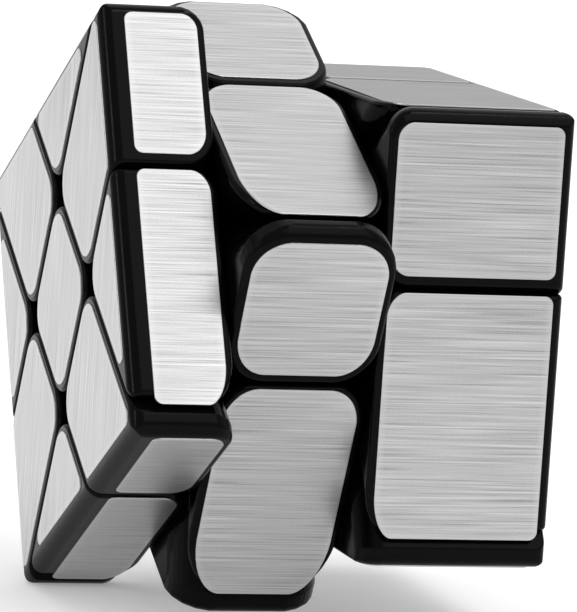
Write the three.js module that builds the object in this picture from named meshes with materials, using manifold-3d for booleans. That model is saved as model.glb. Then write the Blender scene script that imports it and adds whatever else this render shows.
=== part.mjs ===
// A windmill-cut mirror puzzle cube: three layers of unequal thickness that share one turning axis.
// Millimetres and degrees. +X runs along the turning axis from the thin layer to the thick one,
// +Y to the back and +Z up. The origin is under the middle of the whole outline, on the surface
// that the puzzle stands on.
//
// Inside is a three-by-three mechanism: a six-armed core, six sprung centres, twelve edges and
// eight corners. Each layer's square outline is twisted against the mechanism's grid, so on every
// layer the edges carry the corners of the outline and the corners are three-sided blocks.

import * as THREE from "three";
import { mergeVertices } from "three/addons/utils/BufferGeometryUtils.js";
import Module from "manifold-3d";

const wasm = await Module();
wasm.setup();

// Driving dimensions of the outside.
const SIDE = 57; // the square outline of every layer
const CUT_DEPTH = 9.8; // from the core's centre to each of the six cuts
const LEFT_FACE = 23.1; // from the core's centre to the thin layer's outer face
const RIGHT_FACE = 33.9; // from the core's centre to the thick layer's outer face
const OUTLINE_TWIST = 33; // the outline against the mechanism's grid
const LEFT_TURN = -29.9; // each layer's turn about +X as the puzzle is left
const MIDDLE_TURN = 24.4;
const RIGHT_TURN = 0;

// Rounding of the blocks.
const CROSSING_RADIUS = 4.7; // where two cuts meet
const LAYER_RADIUS = 3.5; // where a cut meets the inner end of an outer layer
const CORNER_RADIUS = 1.9; // where two outer sides meet
const RIM_RADIUS = 0.8; // where a cut meets an outer side
const SEAM_RADIUS = 0.3; // where a cap meets its base

// Driving dimensions of the mechanism.
const GAP = 0.4; // between neighbouring pieces
const FOOT_CUT = 6; // like the cut depth, for the feet under the blocks
const BLOCK_SPHERE = 20; // the blocks lie outside this radius
const NECK_SPHERE = 22; // a foot is joined to its block up to this radius
const CORE_SPHERE = 12.5; // the feet lie outside this radius
const HUB_RADIUS = 8;
const ARM_RADIUS = 3.8;
const ARM_LENGTH = 12.1;
const ARM_HOLE_RADIUS = 1.5;
const ARM_HOLE_BOTTOM = 6;

// The stack on each arm, as distances from the core's centre.
const LEDGE_TOP = 14.2;
const SPRING_BOTTOM = 14.5;
const SPRING_TOP = 17.7;
const WASHER_BOTTOM = 18;
const WASHER_TOP = 18.5;
const HEAD_BOTTOM = 18.8;
const HEAD_TOP = 20.1;
const SOCKET_FLOOR = 20.2; // the cap's round boss sits in this socket of the base
const BOSS_BOTTOM = 20.5;
const BASE_TOP = 21.3;
const CAP_BOTTOM = 21.6;
const BORE_RADIUS = 3.2;
const LEDGE_HOLE_RADIUS = 1.7;
const SOCKET_RADIUS = 4.5;
const BOSS_RADIUS = 4.2;
const SHANK_RADIUS = 1.2;
const SCREW_TIP = 6.5;
const HEAD_RADIUS = 2.6;
const RECESS_WIDTH = 0.7;
const RECESS_LENGTH = 3.2;
const RECESS_DEPTH = 0.7;
const WASHER_RADIUS = 2.8;
const WIRE_RADIUS = 0.32;
const COIL_RADIUS = 2.2;
const COIL_TURNS = 3.25;

// Fineness of the round surfaces.
const ROUND_SEGMENTS = 16;
const FINE_SPHERE = 32; // where layers turn on each other
const COARSE_SPHERE = 16; // where nothing turns
const ARC_SEGMENTS = 2;
const WIRE_SIDES = 6;
const STEPS_PER_TURN = 10;

const HALF_GAP = GAP / 2;
const BLOCK_CUT = CUT_DEPTH + HALF_GAP; // an outer block starts here
const CENTRE_CUT = CUT_DEPTH - HALF_GAP; // a centre or a middle block ends here
const FOOT_START = FOOT_CUT + HALF_GAP;
const STEM_END = FOOT_CUT - HALF_GAP;
const FAR = 60; // beyond the puzzle in every direction

// Names of the four blocks of a layer that carry an outline corner, and of the four sides,
// in the order of the mechanism's quarter turns.
const OUTLINE_CORNERS = ["back_bottom", "back_top", "front_top", "front_bottom"];
const OUTLINE_SIDES = ["back", "top", "front", "bottom"];

const radians = THREE.MathUtils.degToRad;

// Solids and geometries.

function solid(geometry) {
  const bare = geometry.clone();
  bare.deleteAttribute("normal");
  bare.deleteAttribute("uv");
  const merged = mergeVertices(bare, 1e-4);
  const mesh = new wasm.Mesh({
    numProp: 3,
    vertProperties: merged.attributes.position.array,
    triVerts: new Uint32Array(merged.index.array),
  });
  return new wasm.Manifold(mesh);
}

function geometryOf(manifold) {
  const mesh = manifold.getMesh();
  const geometry = new THREE.BufferGeometry();
  geometry.setAttribute("position", new THREE.BufferAttribute(mesh.vertProperties, 3));
  geometry.setIndex(new THREE.BufferAttribute(mesh.triVerts, 1));
  geometry.computeVertexNormals();
  return geometry;
}

function union(first, ...others) {
  return others.reduce((sum, other) => sum.add(other), first);
}

function common(first, ...others) {
  return others.reduce((part, other) => part.intersect(other), first);
}

function box(low, high) {
  const from = new THREE.Vector3(...low);
  const to = new THREE.Vector3(...high);
  const size = to.clone().sub(from);
  const centre = from.add(to).multiplyScalar(0.5);
  const geometry = new THREE.BoxGeometry(size.x, size.y, size.z);
  return solid(geometry.translate(centre.x, centre.y, centre.z));
}

// A ball with its poles on the turning axis, so that layers turn freely on each other.
function ball(radius, segments) {
  const geometry = new THREE.SphereGeometry(radius, segments, segments / 2);
  return solid(geometry.rotateZ(radians(90)));
}

// A round bar along +Y from one distance to another.
function bar(radius, from, to) {
  const geometry = new THREE.CylinderGeometry(radius, radius, to - from, ROUND_SEGMENTS);
  return solid(geometry.translate(0, (from + to) / 2, 0));
}

// Outlines. A line is the set of points at a signed distance along the direction of an angle,
// and an outline is the region inside all its lines, listed in the order of their angles.

function line(kind, angle, distance) {
  return { kind, angle, distance };
}

const CORNER_RADII = {
  "cut cut": CROSSING_RADIUS,
  "cut end": LAYER_RADIUS,
  "end cut": LAYER_RADIUS,
  "side side": CORNER_RADIUS,
  "cut side": RIM_RADIUS,
  "side cut": RIM_RADIUS,
};

function cornerRadius(first, second) {
  return CORNER_RADII[first.kind + " " + second.kind] ?? SEAM_RADIUS;
}

// Where two lines meet after both move inwards by an inset.
function meet(first, second, inset) {
  const a = radians(first.angle);
  const b = radians(second.angle);
  const p = first.distance - inset;
  const q = second.distance - inset;
  const scale = 1 / Math.sin(b - a);
  const x = (p * Math.sin(b) - q * Math.sin(a)) * scale;
  const y = (q * Math.cos(a) - p * Math.cos(b)) * scale;
  return new THREE.Vector2(x, y);
}

function roundedShape(lines) {
  const shape = new THREE.Shape();
  lines.forEach((current, i) => {
    const next = lines[(i + 1) % lines.length];
    const radius = cornerRadius(current, next);
    const centre = meet(current, next, radius);
    const start = radians(current.angle);
    shape.absarc(centre.x, centre.y, radius, start, radians(next.angle), false);
  });
  shape.closePath();
  return shape;
}

// Prisms of an outline: along X its flat axes are Y and Z, along Y they are Z and X,
// and along Z they are X and Y.
const TURNS = { x: [1, 1, 1], y: [-1, -1, -1], z: [0, 0, 1] };

function prism(axis, lines, from, to) {
  const settings = { depth: to - from, bevelEnabled: false, curveSegments: ARC_SEGMENTS };
  const geometry = new THREE.ExtrudeGeometry(roundedShape(lines), settings);
  geometry.translate(0, 0, from);
  if (axis !== "z") {
    const turn = new THREE.Quaternion();
    const direction = new THREE.Vector3(...TURNS[axis]).normalize();
    geometry.applyQuaternion(turn.setFromAxisAngle(direction, radians(120)));
  }
  return solid(geometry);
}

// The part of a layer outwards of one centre: between two cuts, with a corner of the outline.
function strip(innerKind, inner) {
  return [
    line("cut", -90, CENTRE_CUT),
    line("side", OUTLINE_TWIST - 90, SIDE / 2),
    line("side", OUTLINE_TWIST, SIDE / 2),
    line("cut", 90, CENTRE_CUT),
    line(innerKind, 180, -inner),
  ];
}

// The three-sided part of a layer between two strips.
function wedge() {
  return [
    line("side", OUTLINE_TWIST, SIDE / 2),
    line("cut", 180, -BLOCK_CUT),
    line("cut", 270, -BLOCK_CUT),
  ];
}

function rectangle(kinds, low, high) {
  return [
    line(kinds[0], 0, high[0]),
    line(kinds[1], 90, high[1]),
    line(kinds[2], 180, -low[0]),
    line(kinds[3], 270, -low[1]),
  ];
}

const CENTRE_SQUARE = rectangle(
  ["cut", "cut", "cut", "cut"],
  [-CENTRE_CUT, -CENTRE_CUT],
  [CENTRE_CUT, CENTRE_CUT],
);

// A layer's extent along the turning axis, with the kind of surface at each end.
const LAYERS = {
  left: { low: -LEFT_FACE, high: -BLOCK_CUT, ends: ["side", "end"] },
  middle: { low: -CENTRE_CUT, high: CENTRE_CUT, ends: ["cut", "cut"] },
  right: { low: BLOCK_CUT, high: RIGHT_FACE, ends: ["end", "side"] },
};

// Seen along +Y the layer is a rectangle in Z and X, and seen along +Z it is one in X and Y.
function acrossStrip(layer) {
  const kinds = ["cut", layer.ends[1], "cut", layer.ends[0]];
  return rectangle(kinds, [-CENTRE_CUT, layer.low], [CENTRE_CUT, layer.high]);
}

function besideStrip(layer) {
  const kinds = ["far", layer.ends[1], "cut", layer.ends[0]];
  return rectangle(kinds, [BLOCK_CUT, layer.low], [FAR, layer.high]);
}

function aboveStrip(layer) {
  const kinds = [layer.ends[1], "far", layer.ends[0], "cut"];
  return rectangle(kinds, [layer.low, BLOCK_CUT], [layer.high, FAR]);
}

// Blocks: what is seen of each piece.

function stripBlock(layer, innerKind, inner) {
  const outline = prism("x", strip(innerKind, inner), layer.low, layer.high);
  return common(outline, prism("y", acrossStrip(layer), 0, FAR));
}

function wedgeBlock(layer) {
  const outline = prism("x", wedge(), layer.low, layer.high);
  const beside = prism("y", besideStrip(layer), 0, FAR);
  const above = prism("z", aboveStrip(layer), 0, FAR);
  return common(outline, beside, above);
}

// A foot reaches under the neighbouring blocks, between the core's space and the blocks,
// and a neck as wide as the piece's own cuts joins it to its block.
function withFoot(block, footBox, neckBox) {
  const foot = common(footBox, ball(BLOCK_SPHERE - GAP, FINE_SPHERE));
  const neck = common(footBox, neckBox, ball(NECK_SPHERE, COARSE_SPHERE));
  const outside = block.subtract(ball(BLOCK_SPHERE, FINE_SPHERE));
  return union(outside, foot.add(neck).subtract(ball(CORE_SPHERE, COARSE_SPHERE)));
}

// A span along the turning axis for a foot or a neck of a layer.
function reach(layer, start, end) {
  if (layer === LAYERS.middle) return [-end, end];
  return layer === LAYERS.left ? [-FAR, -start] : [start, FAR];
}

function edgePiece(layer) {
  const foot = reach(layer, FOOT_START, STEM_END);
  const neck = reach(layer, BLOCK_CUT, CENTRE_CUT);
  const footBox = box([foot[0], FOOT_START, -STEM_END], [foot[1], FAR, STEM_END]);
  const neckBox = box([neck[0], BLOCK_CUT, -CENTRE_CUT], [neck[1], FAR, CENTRE_CUT]);
  return withFoot(stripBlock(layer, "cut", BLOCK_CUT), footBox, neckBox);
}

// Corners of the outer layers and edges of the middle layer have three-sided blocks.
function wedgePiece(layer) {
  const foot = reach(layer, FOOT_START, STEM_END);
  const neck = reach(layer, BLOCK_CUT, CENTRE_CUT);
  const footBox = box([foot[0], FOOT_START, FOOT_START], [foot[1], FAR, FAR]);
  const neckBox = box([neck[0], BLOCK_CUT, BLOCK_CUT], [neck[1], FAR, FAR]);
  return withFoot(wedgeBlock(layer), footBox, neckBox);
}

// Centres, built along +Y: a base on the core's arm, and a cap that covers its screw.

function centreBase() {
  const square = prism("y", CENTRE_SQUARE, 0, BASE_TOP);
  const flange = square.subtract(ball(BLOCK_SPHERE, FINE_SPHERE));
  const stem = box([-STEM_END, CORE_SPHERE, -STEM_END], [STEM_END, BASE_TOP, STEM_END]);
  const hollow = union(
    bar(LEDGE_HOLE_RADIUS, 0, FAR),
    bar(BORE_RADIUS, LEDGE_TOP, FAR),
    bar(SOCKET_RADIUS, SOCKET_FLOOR, FAR),
  );
  return flange.add(stem).subtract(hollow);
}

function withBoss(plate) {
  return plate.add(bar(BOSS_RADIUS, BOSS_BOTTOM, CAP_BOTTOM + 1));
}

function flatCap(face) {
  return withBoss(prism("y", CENTRE_SQUARE, CAP_BOTTOM, face));
}

function middleCap() {
  return withBoss(stripBlock(LAYERS.middle, "seam", CAP_BOTTOM));
}

// The core and the small parts on each of its arms, built along +Y.

function screw() {
  const chamfer = 0.4;
  const profile = [
    [0, SCREW_TIP],
    [SHANK_RADIUS - chamfer, SCREW_TIP],
    [SHANK_RADIUS, SCREW_TIP + chamfer],
    [SHANK_RADIUS, HEAD_BOTTOM],
    [HEAD_RADIUS, HEAD_BOTTOM],
    [HEAD_RADIUS, HEAD_TOP - chamfer],
    [HEAD_RADIUS - chamfer, HEAD_TOP],
    [0, HEAD_TOP],
  ];
  const points = profile.map(([x, y]) => new THREE.Vector2(x, y));
  const turned = solid(new THREE.LatheGeometry(points, ROUND_SEGMENTS));
  const floor = HEAD_TOP - RECESS_DEPTH;
  const long = RECESS_LENGTH / 2;
  const wide = RECESS_WIDTH / 2;
  const slotAlong = box([-long, floor, -wide], [long, FAR, wide]);
  const slotAcross = box([-wide, floor, -long], [wide, FAR, long]);
  return turned.subtract(slotAlong.add(slotAcross));
}

function washer() {
  const disc = bar(WASHER_RADIUS, WASHER_BOTTOM, WASHER_TOP);
  return disc.subtract(bar(ARM_HOLE_RADIUS, 0, FAR));
}

class Helix extends THREE.Curve {
  getPoint(t, target = new THREE.Vector3()) {
    const angle = 2 * Math.PI * COIL_TURNS * t;
    const low = SPRING_BOTTOM + WIRE_RADIUS;
    const high = SPRING_TOP - WIRE_RADIUS;
    const x = COIL_RADIUS * Math.cos(angle);
    const z = COIL_RADIUS * Math.sin(angle);
    return target.set(x, low + (high - low) * t, z);
  }
}

function spring() {
  const corner = (i) => (2 * Math.PI * i) / WIRE_SIDES;
  const points = Array.from({ length: WIRE_SIDES }, (_, i) =>
    new THREE.Vector2(Math.cos(corner(i)), Math.sin(corner(i))).multiplyScalar(WIRE_RADIUS),
  );
  const steps = Math.round(COIL_TURNS * STEPS_PER_TURN);
  const settings = { steps, extrudePath: new Helix() };
  return solid(new THREE.ExtrudeGeometry(new THREE.Shape(points), settings));
}

function core() {
  const arm = bar(ARM_RADIUS, 0, ARM_LENGTH);
  const hole = bar(ARM_HOLE_RADIUS, ARM_HOLE_BOTTOM, FAR);
  const hub = ball(HUB_RADIUS, COARSE_SPHERE);
  const turned = ARM_TURNS.map(({ turn }) => arm.rotate(turn));
  const holes = ARM_TURNS.map(({ turn }) => hole.rotate(turn));
  return union(hub, ...turned).subtract(union(...holes));
}

// The six arms: four in the middle layer, each carrying a corner of its outline, and one along
// the turning axis on each side. A turn takes +Y to the arm's direction.
const ARM_TURNS = [
  ...OUTLINE_CORNERS.map((place, k) => ({ place: "middle_" + place, turn: [90 * k, 0, 0] })),
  { place: "left", turn: [0, 0, 90] },
  { place: "right", turn: [0, 0, -90] },
];

// Materials.

const FINISHES = {
  black_plastic: { color: 0x121212, roughness: 0.25, metalness: 0 },
  core_plastic: { color: 0x2a2a2c, roughness: 0.45, metalness: 0 },
  screw_steel: { color: 0xb4b4b8, roughness: 0.3, metalness: 1 },
  spring_steel: { color: 0x9a9aa0, roughness: 0.25, metalness: 1 },
  washer_steel: { color: 0xc2c2c4, roughness: 0.35, metalness: 1 },
};

function place(group, name, geometry, finish, turn = [0, 0, 0]) {
  const mesh = new THREE.Mesh(geometry, new THREE.MeshStandardMaterial(FINISHES[finish]));
  mesh.name = name;
  mesh.rotation.set(...turn.map(radians));
  group.add(mesh);
}

// Assembly. Each layer is a group turned about the axis, and what is fixed to the core
// turns with the middle layer.

function layerGroup(turn) {
  const group = new THREE.Group();
  group.rotation.x = radians(turn - OUTLINE_TWIST);
  return group;
}

function addArmStacks(group) {
  const stack = [
    ["screw", geometryOf(screw()), "screw_steel"],
    ["spring", geometryOf(spring()), "spring_steel"],
    ["washer", geometryOf(washer()), "washer_steel"],
  ];
  for (const { place: where, turn } of ARM_TURNS) {
    for (const [kind, geometry, finish] of stack) {
      place(group, where + "_" + kind, geometry, finish, turn);
    }
  }
}

function middleLayer() {
  const group = layerGroup(MIDDLE_TURN);
  const base = geometryOf(centreBase());
  const cap = geometryOf(middleCap());
  const edge = geometryOf(wedgePiece(LAYERS.middle));
  place(group, "core", geometryOf(core()), "core_plastic");
  addArmStacks(group);
  OUTLINE_CORNERS.forEach((where, k) => {
    place(group, "middle_" + where + "_centre_base", base, "black_plastic", [90 * k, 0, 0]);
    place(group, "middle_" + where + "_centre_cap", cap, "black_plastic", [90 * k, 0, 0]);
  });
  OUTLINE_SIDES.forEach((where, k) => {
    place(group, "middle_" + where + "_edge", edge, "black_plastic", [90 * k, 0, 0]);
  });
  return group;
}

function outerLayer(side, turn, face, armTurn) {
  const group = layerGroup(turn);
  const edge = geometryOf(edgePiece(LAYERS[side]));
  const corner = geometryOf(wedgePiece(LAYERS[side]));
  place(group, side + "_centre_base", geometryOf(centreBase()), "black_plastic", armTurn);
  place(group, side + "_centre_cap", geometryOf(flatCap(face)), "black_plastic", armTurn);
  OUTLINE_CORNERS.forEach((where, k) => {
    place(group, side + "_" + where + "_edge", edge, "black_plastic", [90 * k, 0, 0]);
  });
  OUTLINE_SIDES.forEach((where, k) => {
    place(group, side + "_" + where + "_corner", corner, "black_plastic", [90 * k, 0, 0]);
  });
  return group;
}

// The whole puzzle, centred along the axis and standing on z = 0.
function puzzle() {
  const group = new THREE.Group();
  group.add(middleLayer());
  group.add(outerLayer("left", LEFT_TURN, LEFT_FACE, [0, 0, 90]));
  group.add(outerLayer("right", RIGHT_TURN, RIGHT_FACE, [0, 0, -90]));
  group.updateMatrixWorld(true);
  const bounds = new THREE.Box3().setFromObject(group, true);
  group.position.set((LEFT_FACE - RIGHT_FACE) / 2, 0, -bounds.min.z);
  return group;
}

const group = puzzle();

export default group;
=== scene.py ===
"""Looks of the windmill-cut mirror puzzle cube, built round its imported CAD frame.

Lengths are in millimetres in the grid frame of a layer, whose origin is the core's centre and whose
X is the turning axis, until a mesh is finished. Then they are in metres.
"""

import math
from itertools import combinations

import bmesh
import bpy
import numpy as np
from mathutils import Matrix, Vector


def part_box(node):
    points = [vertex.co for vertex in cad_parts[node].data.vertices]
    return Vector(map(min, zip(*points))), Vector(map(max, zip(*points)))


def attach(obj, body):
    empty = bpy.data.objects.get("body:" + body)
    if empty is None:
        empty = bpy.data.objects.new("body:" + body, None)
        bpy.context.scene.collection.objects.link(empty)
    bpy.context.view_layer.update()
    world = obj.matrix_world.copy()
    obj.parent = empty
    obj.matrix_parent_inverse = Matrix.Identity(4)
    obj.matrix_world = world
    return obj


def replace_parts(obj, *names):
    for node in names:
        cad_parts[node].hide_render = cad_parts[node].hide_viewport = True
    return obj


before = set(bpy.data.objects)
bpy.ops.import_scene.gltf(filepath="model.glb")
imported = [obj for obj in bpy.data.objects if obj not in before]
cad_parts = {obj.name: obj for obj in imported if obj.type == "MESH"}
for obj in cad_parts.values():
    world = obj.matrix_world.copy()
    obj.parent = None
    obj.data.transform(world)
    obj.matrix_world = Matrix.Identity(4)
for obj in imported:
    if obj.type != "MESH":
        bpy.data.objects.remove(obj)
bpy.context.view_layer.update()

MM = 0.001

# Driving dimensions of the outside, as in the CAD.
SIDE = 57
CUT_DEPTH = 9.8
OUTLINE_TWIST = 33
GAP = 0.4
TURNS = {"left": -29.9, "middle": 24.4, "right": 0}
BODIES = {"left": "thin_layer", "middle": "core_and_middle_layer", "right": "thick_layer"}

# Seams seen from outside. They are tighter than the CAD's gap, and the feet keep that gap. The
# blocks of one layer don't turn against each other, so nothing shows through between them.
LAYER_SEAM = 0.2
BLOCK_SEAM = 0.05

# Driving dimensions of the mechanism, as in the CAD.
FOOT_CUT = 6
BLOCK_SPHERE = 20
NECK_SPHERE = 22
CORE_SPHERE = 12.5
CAP_BOTTOM = 21.6
BOSS_BOTTOM = 20.5
BOSS_RADIUS = 4.2
FAR = 60

# Rounding of the blocks. The steps and angles are in degrees.
SMALL_RADIUS = 0.6
ACUTE_RADIUS = 0.9
CROSSING_RADIUS = 4.7
RADIAL_RADIUS = {"left": 3.5, "middle": 5.3, "right": 3.5}
WRAP_RADIUS = {"left": 3.5, "middle": 6.2, "right": 3.5}
OUTER_RADIUS = {"left": 1.85, "middle": 1.3, "right": 1.3}
OUTLINE_CORNER_RADIUS = 1.9
FILLET_STEP = 9
EDGE_STEP = 18
FLAT_ANGLE = 0.4
SHARP_ANGLE = 28
NORMAL_WEIGHT = 80

# Foil stickers: how far they stay from the planes that bound a block's face.
CUT_MARGIN = 1.0
OUTLINE_MARGIN = 1.87
CORNER_MARGIN = 1.7
FACE_MARGIN = {"left": 2.93, "middle": CUT_MARGIN, "right": 1.49}
STICKER_RADIUS = 1.1
STICKER_STEP = 12
# Distance in from the sticker's edge, and height over the block's face.
STICKER_PROFILE = [(0, -0.03), (0, 0.08), (0.02, 0.12), (0.07, 0.15), (1.0, 0.15)]
# Angle of the brushing on the end faces.
BRUSHING = {"left": 153, "right": 33}

CORNER_NAMES = ["back_bottom", "back_top", "front_top", "front_bottom"]
SIDE_NAMES = ["back", "top", "front", "bottom"]

low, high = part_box("core")
CORE = (low + high) / 2

BLOCK_CUT = CUT_DEPTH + BLOCK_SEAM / 2
CENTRE_CUT = CUT_DEPTH - BLOCK_SEAM / 2
OUTER_START = CUT_DEPTH + LAYER_SEAM / 2
MIDDLE_END = CUT_DEPTH - LAYER_SEAM / 2
FOOT_START = FOOT_CUT + GAP / 2
STEM_END = FOOT_CUT - GAP / 2


def span(node):
    """A CAD node's lowest and highest place along the turning axis, from the core."""
    lowest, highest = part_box(node)
    return (lowest.x - CORE.x) / MM, (highest.x - CORE.x) / MM


LAYERS = {
    "left": (span("left_centre_cap")[0], -OUTER_START),
    "middle": (-MIDDLE_END, MIDDLE_END),
    "right": (OUTER_START, span("right_centre_cap")[1]),
}

# Planes. A plane is a unit normal and a distance from the core's centre.


def across(angle, distance):
    """A plane whose normal is at an angle about the turning axis, from +Y towards +Z."""
    a = math.radians(angle)
    return np.array([0, math.cos(a), math.sin(a)]), distance


def ends(layer, bottom=None):
    low_end, high_end = LAYERS[layer]
    if bottom is not None:
        low_end, high_end = (low_end, -bottom) if layer == "left" else (bottom, high_end)
    return {
        "low": (np.array([-1.0, 0, 0]), -low_end),
        "high": (np.array([1.0, 0, 0]), high_end),
    }


def strip_planes(layer, inner=BLOCK_CUT):
    return {
        "before": across(-90, CENTRE_CUT),
        "wrap": across(OUTLINE_TWIST - 90, SIDE / 2),
        "side": across(OUTLINE_TWIST, SIDE / 2),
        "after": across(90, CENTRE_CUT),
        "inner": across(180, -inner),
        **ends(layer),
    }


def wedge_planes(layer):
    return {
        "side": across(OUTLINE_TWIST, SIDE / 2),
        "inner": across(180, -BLOCK_CUT),
        "before": across(-90, -BLOCK_CUT),
        **ends(layer),
    }


def centre_planes(layer):
    square = {f"cut{k}": across(90 * k, CENTRE_CUT) for k in range(4)}
    return {**square, **ends(layer, CAP_BOTTOM)}


OUTER_END = {"left": "low", "right": "high"}
CUT_ENDS = {"left": ["high"], "middle": ["low", "high"], "right": ["low"]}


def cut_fillets(layer, planes):
    """Pairs of cuts that meet in a rounded edge, each with its radius."""
    walls = ["before", "after"] if "after" in planes else ["before", "inner"]
    found = [(a, b, RADIAL_RADIUS[layer]) for a in walls for b in CUT_ENDS[layer]]
    if layer != "middle":
        found += [(a, "inner", CROSSING_RADIUS) for a in ("before", "after") if a in planes]
    if "wrap" in planes:
        found += [("wrap", b, WRAP_RADIUS[layer]) for b in CUT_ENDS[layer]]
    return found


def outer_fillets(layer, planes):
    """Pairs with an outer side in them."""
    radius = OUTER_RADIUS[layer]
    found = []
    if "wrap" in planes:
        found.append(("wrap", "side", OUTLINE_CORNER_RADIUS))
    else:
        found += [("side", "inner", ACUTE_RADIUS), ("side", "before", ACUTE_RADIUS)]
    if layer in OUTER_END:
        sides = [n for n in ("wrap", "side") if n in planes]
        found += [(n, OUTER_END[layer], radius) for n in sides]
    return found


def softened_corners(layer, planes):
    """Planes that carry the outline corner's rounding on round the ends of that corner."""
    found = []
    for end in CUT_ENDS[layer]:
        turning = tangents(planes["wrap"], planes[end], WRAP_RADIUS[layer])[1::2]
        for i, plane in enumerate(turning):
            share = (i + 1) / (len(turning) + 1)
            radius = OUTLINE_CORNER_RADIUS * (1 - share) + SMALL_RADIUS * share
            found += tangents(planes["side"], plane, radius)[1::2]
    return found


def centre_fillets():
    return [(f"cut{k}", f"cut{(k + 1) % 4}", CROSSING_RADIUS) for k in range(4)]


def tangents(first, second, radius):
    """Planes round the fillet between two planes."""
    (a, p), (b, q) = first, second
    cosine = float(a @ b)
    angle = math.acos(cosine)
    s, t = np.linalg.solve([[1, cosine], [cosine, 1]], [p - radius, q - radius])
    axis = s * a + t * b
    count = max(2, round(math.degrees(angle) / FILLET_STEP))
    found = []
    for i in range(1, count):
        part = i / count * angle
        normal = (math.sin(angle - part) * a + math.sin(part) * b) / math.sin(angle)
        found.append((normal, float(axis @ normal) + radius))
    return found


def all_planes(planes, fillets):
    found = list(planes.values())
    for a, b, radius in fillets:
        found += tangents(planes[a], planes[b], radius)
    return found


def corners(planes):
    """Corners of the solid inside the planes, each with the normals that meet there."""
    normals = np.array([n for n, _ in planes])
    distances = np.array([d for _, d in planes])
    triples = np.array(list(combinations(range(len(planes)), 3)))
    matrices = normals[triples]
    usable = np.abs(np.linalg.det(matrices)) > 1e-7
    sides = distances[triples[usable]][:, :, None]
    points = np.linalg.solve(matrices[usable], sides)[:, :, 0]
    points = points[(points @ normals.T <= distances + 1e-6).all(1)]
    points = np.unique(points.round(5), axis=0)
    touching = np.abs(points @ normals.T - distances) < 1e-4
    return [(point, normals[mask]) for point, mask in zip(points, touching)]


def steps_between(a, b):
    angle = math.degrees(math.acos(max(-1, min(1, float(a @ b)))))
    return max(1, math.ceil(angle / EDGE_STEP))


def spread(normals):
    """Unit directions that fill the space between some normals."""
    found = list(normals)
    for a, b in combinations(normals, 2):
        steps = steps_between(a, b)
        found += [a * (steps - i) + b * i for i in range(1, steps)]
    for a, b, c in combinations(normals, 3):
        steps = max(steps_between(a, b), steps_between(b, c), steps_between(c, a))
        inside = [(i, j) for i in range(1, steps) for j in range(1, steps - i)]
        found += [a * i + b * j + c * (steps - i - j) for i, j in inside]
    return [d / np.linalg.norm(d) for d in found]


def rounded_solid(planes, radius):
    """The solid inside the planes with every edge and corner rounded."""
    smaller = [(n, d - radius) for n, d in planes]
    bm = bmesh.new()
    for point, normals in corners(smaller):
        for direction in spread(normals):
            bm.verts.new(point + radius * direction)
    bmesh.ops.remove_doubles(bm, verts=bm.verts, dist=1e-3)
    hull = bmesh.ops.convex_hull(bm, input=bm.verts)
    spare = {v for v in hull["geom_interior"] + hull["geom_unused"]
             if isinstance(v, bmesh.types.BMVert)}
    bmesh.ops.delete(bm, geom=list(spare), context="VERTS")
    flat = math.radians(FLAT_ANGLE)
    bmesh.ops.dissolve_limit(bm, angle_limit=flat, verts=bm.verts, edges=bm.edges)
    bmesh.ops.recalc_face_normals(bm, faces=bm.faces)
    return mesh_of(bm, "solid")


def mesh_of(bm, name):
    mesh = bpy.data.meshes.new(name)
    bm.to_mesh(mesh)
    bm.free()
    return mesh


# Solids and what is cut from or joined to them.


def ball(radius, segments=48):
    bm = bmesh.new()
    turn = Matrix.Rotation(math.radians(90), 4, "Y")
    rings = segments // 2
    bmesh.ops.create_uvsphere(bm, u_segments=segments, v_segments=rings, radius=radius, matrix=turn)
    return mesh_of(bm, "ball")


def box(lowest, highest):
    bm = bmesh.new()
    bmesh.ops.create_cube(bm, size=1)
    size = [b - a for a, b in zip(lowest, highest)]
    middle = [(a + b) / 2 for a, b in zip(lowest, highest)]
    bmesh.ops.scale(bm, vec=size, verts=bm.verts)
    bmesh.ops.translate(bm, vec=middle, verts=bm.verts)
    return mesh_of(bm, "box")


def round_bar(radius, start, end, direction):
    """A round bar from one distance from the core to another."""
    bm = bmesh.new()
    bmesh.ops.create_cone(bm, cap_ends=True, segments=32, radius1=radius, radius2=radius,
                          depth=end - start)
    bmesh.ops.translate(bm, vec=(0, 0, (start + end) / 2), verts=bm.verts)
    turn = Vector((0, 0, 1)).rotation_difference(Vector(direction)).to_matrix()
    bmesh.ops.rotate(bm, cent=(0, 0, 0), matrix=turn, verts=bm.verts)
    return mesh_of(bm, "bar")


def boolean(operation, first, second):
    a = bpy.data.objects.new("first", first)
    b = bpy.data.objects.new("second", second)
    for o in (a, b):
        bpy.context.scene.collection.objects.link(o)
    cut = a.modifiers.new("cut", "BOOLEAN")
    cut.operation = operation
    cut.solver = "EXACT"
    cut.object = b
    evaluated = a.evaluated_get(bpy.context.evaluated_depsgraph_get())
    result = bpy.data.meshes.new_from_object(evaluated)
    for o in (a, b):
        bpy.data.objects.remove(o)
    return result


def with_foot(block, foot_box, neck_box):
    """The block above the blocks' sphere, with its foot and neck under it."""
    foot = boolean("INTERSECT", foot_box, ball(BLOCK_SPHERE - GAP))
    neck = boolean("INTERSECT", neck_box, ball(NECK_SPHERE))
    below = boolean("UNION", foot, neck)
    below = boolean("DIFFERENCE", below, ball(CORE_SPHERE))
    above = boolean("DIFFERENCE", block, ball(BLOCK_SPHERE))
    return boolean("UNION", above, below)


def reach(layer, start, end):
    """How far a foot or a neck goes along the turning axis."""
    if layer == "middle":
        return -end, end
    return (-FAR, -start) if layer == "left" else (start, FAR)


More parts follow.
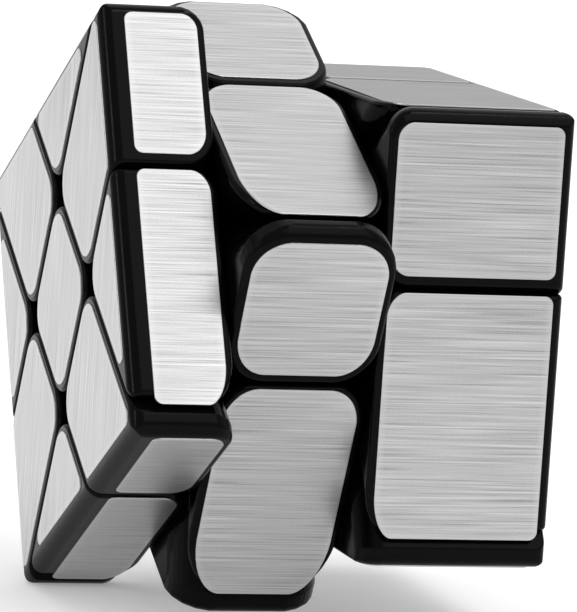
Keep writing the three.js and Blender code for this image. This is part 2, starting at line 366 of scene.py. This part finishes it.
def strip_piece(layer):
    planes = strip_planes(layer)
    fillets = cut_fillets(layer, planes) + outer_fillets(layer, planes)
    bounding = all_planes(planes, fillets) + softened_corners(layer, planes)
    block = rounded_solid(bounding, SMALL_RADIUS)
    foot = reach(layer, FOOT_START, STEM_END)
    neck = reach(layer, OUTER_START, MIDDLE_END)
    foot_box = box((foot[0], FOOT_START, -STEM_END), (foot[1], FAR, STEM_END))
    neck_box = box((neck[0], BLOCK_CUT, -STEM_END), (neck[1], FAR, STEM_END))
    return planes, with_foot(block, foot_box, neck_box)


def wedge_piece(layer):
    planes = wedge_planes(layer)
    fillets = cut_fillets(layer, planes) + outer_fillets(layer, planes)
    block = rounded_solid(all_planes(planes, fillets), SMALL_RADIUS)
    foot = reach(layer, FOOT_START, STEM_END)
    foot_box = box((foot[0], FOOT_START, FOOT_START), (foot[1], FAR, FAR))
    neck = reach(layer, OUTER_START, STEM_END)
    neck_box = box((neck[0], BLOCK_CUT, BLOCK_CUT), (neck[1], FAR, FAR))
    return planes, with_foot(block, foot_box, neck_box)


def middle_cap():
    """A centre's cap in the middle layer, which carries a corner of the outline."""
    planes = strip_planes("middle", CAP_BOTTOM)
    fillets = cut_fillets("middle", planes) + outer_fillets("middle", planes)
    bounding = all_planes(planes, fillets) + softened_corners("middle", planes)
    plate = rounded_solid(bounding, SMALL_RADIUS)
    boss = round_bar(BOSS_RADIUS, BOSS_BOTTOM, CAP_BOTTOM + 1, (0, 1, 0))
    return planes, boolean("UNION", plate, boss)


def face_cap(layer):
    """The flat cap of the centre on an end face."""
    planes = centre_planes(layer)
    plate = rounded_solid(all_planes(planes, centre_fillets()), SMALL_RADIUS)
    direction = planes[OUTER_END[layer]][0]
    boss = round_bar(BOSS_RADIUS, BOSS_BOTTOM, CAP_BOTTOM + 1, direction)
    return planes, boolean("UNION", plate, boss)


# Foil stickers.


def sticker_lines(planes, fillets, face, margins):
    """Lines in a face's plane that bound its sticker, as angles' unit vectors and distances."""
    normal, distance = planes[face]
    flat = [(*planes[n], margins[n]) for n in planes if n != face]
    for a, b, radius in fillets:
        if face not in (a, b):
            turning = tangents(planes[a], planes[b], radius)
            change = (margins[b] - margins[a]) / (len(turning) + 1)
            flat += [(*plane, margins[a] + change * (i + 1)) for i, plane in enumerate(turning)]
    along, up = face_axes(normal)
    found = []
    for other, reach_of, margin in flat:
        slope = float(other @ normal)
        scale = math.sqrt(1 - slope * slope)
        if scale > 1e-6:
            direction = np.array([other @ along, other @ up]) / scale
            found.append((direction, (reach_of - slope * distance) / scale - margin))
    return found


def face_axes(normal, brushing=0):
    """Two unit vectors in a face: along the brushing and across it."""
    if abs(normal[0]) > 0.5:
        a = math.radians(brushing)
        along = np.array([0, math.cos(a), math.sin(a)])
    else:
        along = np.array([1.0, 0, 0])
    return along, np.cross(normal, along)


def rounded_outline(lines, radius):
    """Corners inside the lines and the directions in which each is rounded."""
    normals = np.array([n for n, _ in lines])
    distances = np.array([d for _, d in lines]) - radius
    found = []
    for i, j in combinations(range(len(lines)), 2):
        if abs(normals[i][0] * normals[j][1] - normals[i][1] * normals[j][0]) > 1e-6:
            point = np.linalg.solve(normals[[i, j]], distances[[i, j]])
            if (normals @ point <= distances + 1e-6).all():
                found.append(point)
    points = np.unique(np.round(found, 5), axis=0)
    centre = points.mean(0)
    order = sorted(points, key=lambda p: math.atan2(*(p - centre)[::-1]))
    rows = []
    for point in order:
        touching = normals[np.abs(normals @ point - distances) < 1e-4]
        rows += [(point, d) for d in fan(touching)]
    return rows


def fan(normals):
    """Unit vectors from the first to the last of some directions, counter-clockwise."""
    middle = normals.sum(0)
    facing = math.atan2(middle[1], middle[0])

    def from_middle(n):
        return (math.atan2(n[1], n[0]) - facing + math.pi) % (2 * math.pi) - math.pi

    offsets = sorted(from_middle(n) for n in normals)
    width = offsets[-1] - offsets[0]
    steps = max(1, math.ceil(math.degrees(width) / STICKER_STEP))
    angles = [facing + offsets[0] + width * i / steps for i in range(steps + 1)]
    return [np.array([math.cos(a), math.sin(a)]) for a in angles]


def sticker_mesh(planes, fillets, face, margins, brushing=0):
    normal, distance = planes[face]
    along, up = face_axes(normal)
    outline = rounded_outline(sticker_lines(planes, fillets, face, margins), STICKER_RADIUS)
    bm = bmesh.new()
    rim_highlight_mask = bm.verts.layers.float.new("rim_highlight_mask")
    loops = []
    for inset, height in STICKER_PROFILE:
        base = normal * (distance + height)
        flat = [p + (STICKER_RADIUS - inset) * d for p, d in outline]
        loops.append([bm.verts.new(base + x * along + y * up) for x, y in flat])
    count = len(outline)
    for lower, upper in zip(loops, loops[1:]):
        for i in range(count):
            j = (i + 1) % count
            bm.faces.new((lower[i], lower[j], upper[j], upper[i]))
    bm.faces.new(loops[-1])
    bm.faces.new(loops[0][::-1])
    # The rim mask is 1 on every loop but the top one. Along it the foil's highlight is painted as a
    # lighter grey.
    for loop in loops[:-1]:
        for vert in loop:
            vert[rim_highlight_mask] = 1
    bmesh.ops.remove_doubles(bm, verts=bm.verts, dist=1e-4)
    add_grain_map(bm, normal, brushing)
    return mesh_of(bm, "sticker")


def add_grain_map(bm, normal, brushing):
    """A map whose first axis runs along the brushing."""
    along, across_grain = face_axes(normal, brushing)
    layer = bm.loops.layers.uv.new("grain")
    for face in bm.faces:
        for loop in face.loops:
            place = np.array(loop.vert.co)
            loop[layer].uv = (float(place @ along), float(place @ across_grain))


def end_margins(planes):
    """Margins of a sticker on an end face."""
    outer = ("side", "wrap")
    return {n: OUTLINE_MARGIN if n in outer else CUT_MARGIN for n in planes}


def side_margins(layer, planes):
    """Margins of a sticker on an outer side."""
    found = {n: CUT_MARGIN for n in planes}
    found["wrap"] = CORNER_MARGIN
    if layer in OUTER_END:
        found[OUTER_END[layer]] = FACE_MARGIN[layer]
    return {n: found[n] for n in planes}


# Materials. A noise's stretch is along the brushing, across it and in depth, per millimetre.

PLASTIC_SPECULAR = 0.065
CLOUD_SCALE = 180
PEEL_SCALE = 900
PEEL_STRENGTH = 0.06
PEEL_DEPTH = 0.0002

FINE_STREAKS = (0.06, 4.4, 1)
BROAD_STREAKS = (0.05, 1.6, 1)
SINGLE_LINES = (0.05, 6.0, 5)
SPECKLES = (5, 8, 9)
BROAD_SHARE = 0.25
SPECKLE_SHARE = 0.22
FOIL_GREY = 0.47
FOIL_ANISOTROPY = 0.4
# Each is the range of a noise, and the values that it becomes.
STREAK_GREY = (0.34, 0.66, 0.35, 0.59)
BRIGHT_LINES = (0.62, 0.72, 0, 0.09)
DARK_LINES = (0.38, 0.28, 0, 0.11)
STREAK_ROUGHNESS = (0.3, 0.7, 0.36, 0.26)
# Painted highlight: how far the foil's rim is mixed towards a lighter grey, and that grey.
RIM_HIGHLIGHT_SHARE = (0, 1, 0, 0.6)
RIM_HIGHLIGHT_GREY = 0.56
STREAK_STRENGTH = 0.15
STREAK_DEPTH = 0.00004

METAL_SCALE = 1500
METAL_STRETCH = (1, 6, 6)
METAL_SMOOTHER = 0.08
METAL_ROUGHER = 0.1
METAL_STRENGTH = 0.1
METAL_DEPTH = 0.0001


def new_material(name, colour, **inputs):
    material = bpy.data.materials.new(name)
    material.use_nodes = True
    shader = material.node_tree.nodes["Principled BSDF"]
    shader.inputs["Base Color"].default_value = (*colour, 1)
    for key, value in inputs.items():
        shader.inputs[key.replace("_", " ")].default_value = value
    return material, material.node_tree, shader


def add(tree, kind, **settings):
    node = tree.nodes.new("ShaderNode" + kind)
    for key, value in settings.items():
        if hasattr(node, key):
            setattr(node, key, value)
        else:
            node.inputs[key.replace("_", " ")].default_value = value
    return node


def noise(tree, coordinates, scale, stretch=(1, 1, 1), detail=3.0):
    mapping = add(tree, "Mapping", Scale=stretch)
    tree.links.new(coordinates, mapping.inputs["Vector"])
    texture = add(tree, "TexNoise", Scale=scale, Detail=detail)
    tree.links.new(mapping.outputs["Vector"], texture.inputs["Vector"])
    return texture.outputs["Fac"]


def ramp(tree, factor, start, end, low_value, high_value):
    """A grey that follows a factor between two values."""
    node = add(tree, "MapRange")
    settings = zip(("From Min", "From Max", "To Min", "To Max"), (start, end, low_value, high_value))
    for key, value in settings:
        node.inputs[key].default_value = value
    tree.links.new(factor, node.inputs["Value"])
    return node.outputs["Result"]


def bump(tree, shader, height, strength, distance):
    node = add(tree, "Bump")
    node.inputs["Strength"].default_value = strength
    node.inputs["Distance"].default_value = distance
    tree.links.new(height, node.inputs["Height"])
    tree.links.new(node.outputs["Normal"], shader.inputs["Normal"])


def plastic(name, colour, roughness, spread_of_roughness):
    """Moulded plastic: faint orange peel, and gloss that varies with handling."""
    material, tree, shader = new_material(name, colour, Specular_IOR_Level=PLASTIC_SPECULAR)
    place = add(tree, "TexCoord").outputs["Object"]
    cloudy = noise(tree, place, CLOUD_SCALE, detail=4.0)
    rough = ramp(tree, cloudy, 0.3, 0.7, roughness - spread_of_roughness,
                 roughness + spread_of_roughness)
    tree.links.new(rough, shader.inputs["Roughness"])
    bump(tree, shader, noise(tree, place, PEEL_SCALE), PEEL_STRENGTH, PEEL_DEPTH)
    return material


def mixed(tree, first, second, share):
    node = add(tree, "Mix", data_type="FLOAT")
    node.inputs["Factor"].default_value = share
    tree.links.new(first, node.inputs["A"])
    tree.links.new(second, node.inputs["B"])
    return node.outputs["Result"]


def calculated(tree, operation, first, second):
    node = add(tree, "Math", operation=operation)
    tree.links.new(first, node.inputs[0])
    tree.links.new(second, node.inputs[1])
    return node.outputs["Value"]


def foil(name):
    """Brushed metal foil: long fine streaks along the map's first axis, and a painted highlight
    round the rim, where the grey is lighter.
    """
    grey_base = (FOIL_GREY, FOIL_GREY, FOIL_GREY)
    material, tree, shader = new_material(name, grey_base, Metallic=1.0,
                                          Anisotropic=FOIL_ANISOTROPY)
    grain = add(tree, "UVMap", uv_map="grain").outputs["UV"]
    fine = noise(tree, grain, 1, FINE_STREAKS, detail=3.0)
    broad = noise(tree, grain, 1, BROAD_STREAKS, detail=2.0)
    lines = noise(tree, grain, 1, SINGLE_LINES, detail=0.0)
    speckle = noise(tree, grain, 1, SPECKLES, detail=1.0)
    streaks = mixed(tree, mixed(tree, fine, broad, BROAD_SHARE), speckle, SPECKLE_SHARE)
    rim_highlight_mask = add(tree, "Attribute", attribute_name="rim_highlight_mask").outputs["Fac"]
    grey = ramp(tree, streaks, *STREAK_GREY)
    bright = ramp(tree, lines, *BRIGHT_LINES)
    dark = ramp(tree, lines, *DARK_LINES)
    grey = calculated(tree, "SUBTRACT", calculated(tree, "ADD", grey, bright), dark)
    # Painted highlight: towards the rim the streaked grey is mixed towards a lighter grey.
    rim_highlight_share = ramp(tree, rim_highlight_mask, *RIM_HIGHLIGHT_SHARE)
    plain = add(tree, "Mix", data_type="FLOAT")
    tree.links.new(rim_highlight_share, plain.inputs["Factor"])
    tree.links.new(grey, plain.inputs["A"])
    plain.inputs["B"].default_value = RIM_HIGHLIGHT_GREY
    colour = add(tree, "CombineColor")
    for channel in ("Red", "Green", "Blue"):
        tree.links.new(plain.outputs["Result"], colour.inputs[channel])
    tree.links.new(colour.outputs["Color"], shader.inputs["Base Color"])
    tree.links.new(ramp(tree, streaks, *STREAK_ROUGHNESS), shader.inputs["Roughness"])
    tangent = add(tree, "Tangent", direction_type="UV_MAP", uv_map="grain")
    tree.links.new(tangent.outputs["Tangent"], shader.inputs["Tangent"])
    bump(tree, shader, streaks, STREAK_STRENGTH, STREAK_DEPTH)
    return material


def metal(name, colour, roughness):
    """Small turned or drawn steel parts, with fine marks."""
    material, tree, shader = new_material(name, colour, Metallic=1.0)
    place = add(tree, "TexCoord").outputs["Object"]
    marks = noise(tree, place, METAL_SCALE, METAL_STRETCH)
    rough = ramp(tree, marks, 0.3, 0.7, roughness - METAL_SMOOTHER, roughness + METAL_ROUGHER)
    tree.links.new(rough, shader.inputs["Roughness"])
    bump(tree, shader, marks, METAL_STRENGTH, METAL_DEPTH)
    return material


BLACK = plastic("black_plastic", (0.0015, 0.0015, 0.0016), 0.16, 0.04)
CORE_PLASTIC = plastic("core_plastic", (0.03, 0.03, 0.033), 0.42, 0.08)
FOIL = foil("sticker_foil")
SCREW = metal("screw_steel", (0.62, 0.62, 0.64), 0.25)
SPRING = metal("spring_steel", (0.5, 0.5, 0.52), 0.22)
WASHER = metal("washer_steel", (0.66, 0.66, 0.67), 0.35)

# Pieces.


def smooth(piece):
    """Round edges shaded as round, and flat faces as flat."""
    piece.data.shade_smooth()
    piece.data.set_sharp_from_angle(angle=math.radians(SHARP_ANGLE))
    weighted = piece.modifiers.new("weighted", "WEIGHTED_NORMAL")
    weighted.weight = NORMAL_WEIGHT
    weighted.keep_sharp = True


def put(name, mesh, layer, quarter, material):
    """A copy of a mesh as a piece of a layer, a number of quarter turns round."""
    turned = mesh.copy()
    turned.name = name
    angle = TURNS[layer] - OUTLINE_TWIST + 90 * quarter
    turned.transform(Matrix.Rotation(math.radians(angle), 4, "X"))
    turned.transform(Matrix.Scale(MM, 4))
    turned.materials.clear()
    turned.materials.append(material)
    piece = bpy.data.objects.new(name, turned)
    bpy.context.scene.collection.objects.link(piece)
    piece.location = CORE
    smooth(piece)
    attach(piece, BODIES[layer])
    return piece


def put_block(node, mesh, layer, quarter):
    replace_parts(put(node + "_shell", mesh, layer, quarter, BLACK), node)


def put_sticker(name, mesh, layer, quarter):
    put(name, mesh, layer, quarter, FOIL)


def put_round(layer, names, ending, planes, block):
    """Four copies of a block round the axis, with the stickers on each."""
    fillets = cut_fillets(layer, planes)
    side = sticker_mesh(planes, fillets, "side", side_margins(layer, planes))
    for quarter, where in enumerate(names):
        node = f"{layer}_{where}_{ending}"
        put_block(node, block, layer, quarter)
        put_sticker(node + "_side_foil", side, layer, quarter)
        if layer in OUTER_END:
            angle = BRUSHING[layer] - 90 * quarter
            face = sticker_mesh(planes, fillets, OUTER_END[layer], end_margins(planes), angle)
            put_sticker(node + "_face_foil", face, layer, quarter)


def put_outer_layer(layer):
    put_round(layer, CORNER_NAMES, "edge", *strip_piece(layer))
    put_round(layer, SIDE_NAMES, "corner", *wedge_piece(layer))
    planes, cap = face_cap(layer)
    put_block(layer + "_centre_cap", cap, layer, 0)
    margins = {n: CUT_MARGIN for n in planes}
    face = OUTER_END[layer]
    sticker = sticker_mesh(planes, centre_fillets(), face, margins, BRUSHING[layer])
    put_sticker(layer + "_centre_face_foil", sticker, layer, 0)


put_outer_layer("left")
put_outer_layer("right")
put_round("middle", CORNER_NAMES, "centre_cap", *middle_cap())
put_round("middle", SIDE_NAMES, "edge", *wedge_piece("middle"))

FINISHES = {"screw": SCREW, "spring": SPRING, "washer": WASHER, "base": BLACK, "core": CORE_PLASTIC}
for node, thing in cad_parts.items():
    kind = node.split("_")[-1]
    if kind in FINISHES:
        for slot in thing.material_slots:
            slot.material = FINISHES[kind]

# Floor, light and camera, in metres.

FLOOR_HALF = 6
FLOOR_GLOW = 0.24
WORLD_LIGHT = 0.62
AIM = (0, 0, 0.038)
BEHIND = (0, 0.8, 0)

# Softboxes: direction from what they light, distance, size, radiance.
ABOVE_CAMERA = ((0.29, -0.59, 0.75), 1.3, (1.1, 1.1), 1.16)
BEHIND_ABOVE = ((0.29, 0.53, 0.8), 1.4, (0.9, 0.9), 0.66)
OVERHEAD = ((0.29, -0.15, 0.95), 1.3, (1.2, 0.025), 15.0)
LEFT = ((-0.89, -0.07, 0.45), 1.2, (0.08, 0.6), 7.0)
BACKDROP = ((0, 0, 1), 1.0, (1.4, 0.9), 1.3)

# The camera's place in X and Y, its height over the core, and its turn in degrees.
CAMERA_PLACE = (-0.19565, -0.64762)
CAMERA_RISE = 0.088845
CAMERA_TURN = (82.4957, -3.7471, -16.4457)
CAMERA_LENS = 315.24
SENSOR_WIDTH = 36


def floor():
    bm = bmesh.new()
    bmesh.ops.create_grid(bm, x_segments=1, y_segments=1, size=FLOOR_HALF)
    mesh = mesh_of(bm, "floor")
    piece = bpy.data.objects.new("floor", mesh)
    bpy.context.scene.collection.objects.link(piece)
    material, _, shader = new_material("pale_floor", (0.88, 0.88, 0.88), Roughness=0.9)
    shader.inputs["Emission Color"].default_value = (1, 1, 1, 1)
    shader.inputs["Emission Strength"].default_value = FLOOR_GLOW
    mesh.materials.append(material)


def softbox(name, direction, distance, size, radiance, target=AIM, glossy=True):
    """A flat light of a given radiance, seen from its target in a given direction."""
    lamp = bpy.data.lights.new(name, "AREA")
    lamp.shape = "RECTANGLE"
    lamp.size, lamp.size_y = size
    lamp.energy = radiance * math.pi * size[0] * size[1]
    thing = bpy.data.objects.new(name, lamp)
    bpy.context.scene.collection.objects.link(thing)
    towards = Vector(direction).normalized()
    thing.location = Vector(target) + towards * distance
    thing.rotation_euler = towards.to_track_quat("Z", "Y").to_euler()
    thing.visible_camera = False
    thing.visible_glossy = glossy


floor()
softbox("above_camera", *ABOVE_CAMERA)
softbox("behind_above", *BEHIND_ABOVE)
softbox("overhead", *OVERHEAD)
softbox("left", *LEFT)
softbox("backdrop", *BACKDROP, target=BEHIND, glossy=False)

world = bpy.data.worlds.new("studio")
world.use_nodes = True
world.node_tree.nodes["Background"].inputs["Color"].default_value = (1, 1, 1, 1)
world.node_tree.nodes["Background"].inputs["Strength"].default_value = WORLD_LIGHT
scene = bpy.context.scene
scene.world = world
scene.view_settings.view_transform = "Standard"

camera = bpy.data.cameras.new("camera")
camera.sensor_width = SENSOR_WIDTH
camera.lens = CAMERA_LENS
viewer = bpy.data.objects.new("camera", camera)
scene.collection.objects.link(viewer)
viewer.location = (*CAMERA_PLACE, CORE.z + CAMERA_RISE)
viewer.rotation_euler = [math.radians(a) for a in CAMERA_TURN]
scene.camera = viewer
